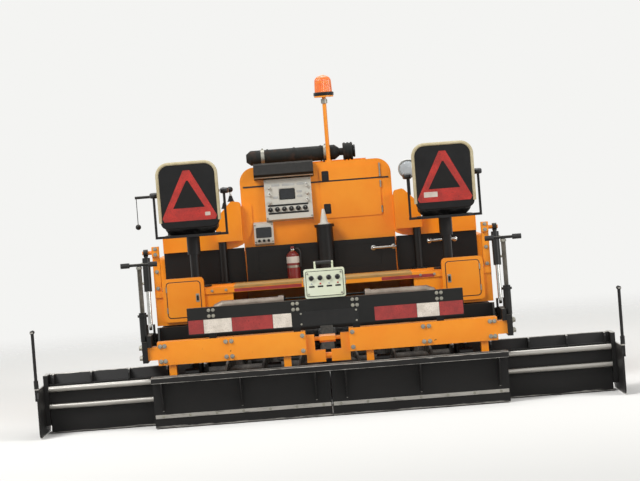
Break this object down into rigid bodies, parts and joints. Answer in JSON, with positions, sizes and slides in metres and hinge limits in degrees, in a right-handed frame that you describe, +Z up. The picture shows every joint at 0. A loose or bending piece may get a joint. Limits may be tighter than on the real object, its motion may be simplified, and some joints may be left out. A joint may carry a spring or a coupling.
{
  "type": "tracked asphalt paver",
  "caption": "Tracked asphalt paver with a folding hopper, slat conveyors, augers, two operator seats and an extending screed behind.",
  "frame": {"origin": "middle of the machine's overall box, on the ground", "axes": "+Y the way it drives, +X its right side, +Z up"},
  "size_m": [4.0446, 4.2999, 2.4],
  "materials": {
    "orange_paint": "satin",
    "black_paint": "satin",
    "grey_paint": "satin",
    "worn_steel": "worn",
    "rod_chrome": "polished",
    "cast_iron": "rough",
    "track_rubber": "matte",
    "seat_vinyl": "satin",
    "lamp_orange": "gloss",
    "red_paint": "gloss"
  },
  "bodies": {
    "tractor": {"track_left": "track_rubber", "track_right": "track_rubber", "track_frames": "black_paint", "track_wheels": "cast_iron", "side_frames": "black_paint", "frame_deck": "black_paint", "rear_beam": "black_paint", "conveyor_floor": "worn_steel", "conveyor": "worn_steel", "hopper_rear_wall": "black_paint", "hopper_front": "black_paint", "engine_block": "cast_iron", "cowl": "orange_paint", "muffler": "black_paint", "beacon": "lamp_orange", "control_panel": "grey_paint", "dash": "black_paint", "consoles": "orange_paint", "lamps": "grey_paint", "extinguisher": "red_paint", "tanks": "orange_paint", "guide_bar": "black_paint", "platform": "orange_paint", "rear_pipes": "grey_paint", "arm_brackets": "orange_paint", "seat_posts": "black_paint"},
    "hood": {"hood": "orange_paint"},
    "screed": {"tow_arm_left": "black_paint", "tow_arm_right": "black_paint", "screed_body": "black_paint", "screed_beam": "orange_paint", "walkway": "black_paint", "rear_bar": "black_paint", "heat_box": "grey_paint"},
    "wing_left": {"wing_left": "worn_steel"},
    "wing_cylinder_left": {"wing_barrel_left": "black_paint"},
    "wing_piston_left": {"wing_rod_left": "rod_chrome"},
    "push_roller_left": {"push_roller_left": "worn_steel"},
    "auger_left": {"auger_left": "worn_steel"},
    "seat_left": {"seat_frame_left": "black_paint", "seat_left": "seat_vinyl"},
    "lift_cylinder_left": {"lift_barrel_left": "black_paint"},
    "lift_piston_left": {"lift_rod_left": "rod_chrome"},
    "extension_left": {"extension_left": "black_paint"},
    "end_gate_left": {"end_gate_left": "black_paint"},
    "wing_right": {"wing_right": "worn_steel"},
    "wing_cylinder_right": {"wing_barrel_right": "black_paint"},
    "wing_piston_right": {"wing_rod_right": "rod_chrome"},
    "push_roller_right": {"push_roller_right": "worn_steel"},
    "auger_right": {"auger_right": "worn_steel"},
    "seat_right": {"seat_frame_right": "black_paint", "seat_right": "seat_vinyl"},
    "lift_cylinder_right": {"lift_barrel_right": "black_paint"},
    "lift_piston_right": {"lift_rod_right": "rod_chrome"},
    "extension_right": {"extension_right": "black_paint"},
    "end_gate_right": {"end_gate_right": "black_paint"}
  },
  "joints": [
    {"name": "screed_lift", "type": "hinge", "parent": "tractor", "child": "screed", "pos_m": [0, 0.25, 0.47], "axis": [-1, 0, 0], "range_deg": [0, 8]},
    {"name": "hood_lift", "type": "hinge", "parent": "tractor", "child": "hood", "pos_m": [0, 0.702, 1.3], "axis": [-1, 0, 0], "range_deg": [0, 55]},
    {"name": "wing_fold_left", "type": "hinge", "parent": "tractor", "child": "wing_left", "pos_m": [-0.645, 1.3, 0.466], "axis": [0, 1, 0], "range_deg": [0, 55]},
    {"name": "wing_cylinder_turn_left", "type": "hinge", "parent": "tractor", "child": "wing_cylinder_left", "pos_m": [-0.7, 1.64, 0.3], "axis": [0, 1, 0], "range_deg": [-1, 39.2]},
    {"name": "wing_piston_slide_left", "type": "slide", "parent": "wing_cylinder_left", "child": "wing_piston_left", "axis": [-0.6426, 0, 0.7662], "range_m": [-0.001, 0.103]},
    {"name": "push_roller_spin_left", "type": "hinge", "parent": "tractor", "child": "push_roller_left", "pos_m": [-0.348, 2.07, 0.47], "axis": [1, 0, 0], "continuous": true},
    {"name": "auger_spin_left", "type": "hinge", "parent": "tractor", "child": "auger_left", "pos_m": [-0.6, -1.3, 0.32], "axis": [1, 0, 0], "continuous": true},
    {"name": "seat_swivel_left", "type": "hinge", "parent": "tractor", "child": "seat_left", "pos_m": [-0.92, -0.84, 1.26], "axis": [0, 0, 1], "range_deg": [-25, 25]},
    {"name": "lift_cylinder_turn_left", "type": "hinge", "parent": "tractor", "child": "lift_cylinder_left", "pos_m": [-1.255, -1.11, 1.19], "axis": [1, 0, 0], "range_deg": [-1, 2.6]},
    {"name": "lift_piston_slide_left", "type": "slide", "parent": "lift_cylinder_left", "child": "lift_piston_left", "axis": [0, 0.1322, 0.9912], "range_m": [-0.001, 0.201]},
    {"name": "extension_slide_left", "type": "slide", "parent": "screed", "child": "extension_left", "axis": [-1, 0, 0], "range_m": [-0.76, 0.24]},
    {"name": "end_gate_slide_left", "type": "slide", "parent": "extension_left", "child": "end_gate_left", "axis": [0, 0, 1], "range_m": [0, 0.06]},
    {"name": "wing_fold_right", "type": "hinge", "parent": "tractor", "child": "wing_right", "pos_m": [0.645, 1.3, 0.466], "axis": [0, -1, 0], "range_deg": [0, 55]},
    {"name": "wing_cylinder_turn_right", "type": "hinge", "parent": "tractor", "child": "wing_cylinder_right", "pos_m": [0.7, 1.64, 0.3], "axis": [0, -1, 0], "range_deg": [-1, 39.2]},
    {"name": "wing_piston_slide_right", "type": "slide", "parent": "wing_cylinder_right", "child": "wing_piston_right", "axis": [0.6426, 0, 0.7662], "range_m": [-0.001, 0.103]},
    {"name": "push_roller_spin_right", "type": "hinge", "parent": "tractor", "child": "push_roller_right", "pos_m": [0.348, 2.07, 0.47], "axis": [1, 0, 0], "continuous": true},
    {"name": "auger_spin_right", "type": "hinge", "parent": "tractor", "child": "auger_right", "pos_m": [0.6, -1.3, 0.32], "axis": [1, 0, 0], "continuous": true},
    {"name": "seat_swivel_right", "type": "hinge", "parent": "tractor", "child": "seat_right", "pos_m": [0.92, -0.84, 1.26], "axis": [0, 0, 1], "range_deg": [-25, 25]},
    {"name": "lift_cylinder_turn_right", "type": "hinge", "parent": "tractor", "child": "lift_cylinder_right", "pos_m": [1.255, -1.11, 1.19], "axis": [1, 0, 0], "range_deg": [-1, 2.6]},
    {"name": "lift_piston_slide_right", "type": "slide", "parent": "lift_cylinder_right", "child": "lift_piston_right", "axis": [0, 0.1322, 0.9912], "range_m": [-0.001, 0.201]},
    {"name": "extension_slide_right", "type": "slide", "parent": "screed", "child": "extension_right", "axis": [1, 0, 0], "range_m": [-0.76, 0.24]},
    {"name": "end_gate_slide_right", "type": "slide", "parent": "extension_right", "child": "end_gate_right", "axis": [0, 0, 1], "range_m": [0, 0.06]}
  ],
  "couplings": [
    {"joint": "wing_cylinder_turn_left", "follows": "wing_fold_left", "ratio": 0.71116},
    {"joint": "wing_piston_slide_left", "follows": "wing_fold_left", "m_per_rad": 0.10635},
    {"joint": "lift_cylinder_turn_left", "follows": "screed_lift", "ratio": 0.31872},
    {"joint": "lift_piston_slide_left", "follows": "screed_lift", "m_per_rad": 1.4359},
    {"joint": "wing_cylinder_turn_right", "follows": "wing_fold_right", "ratio": 0.71116},
    {"joint": "wing_piston_slide_right", "follows": "wing_fold_right", "m_per_rad": 0.10635},
    {"joint": "lift_cylinder_turn_right", "follows": "screed_lift", "ratio": 0.31872},
    {"joint": "lift_piston_slide_right", "follows": "screed_lift", "m_per_rad": 1.4359}
  ]
}
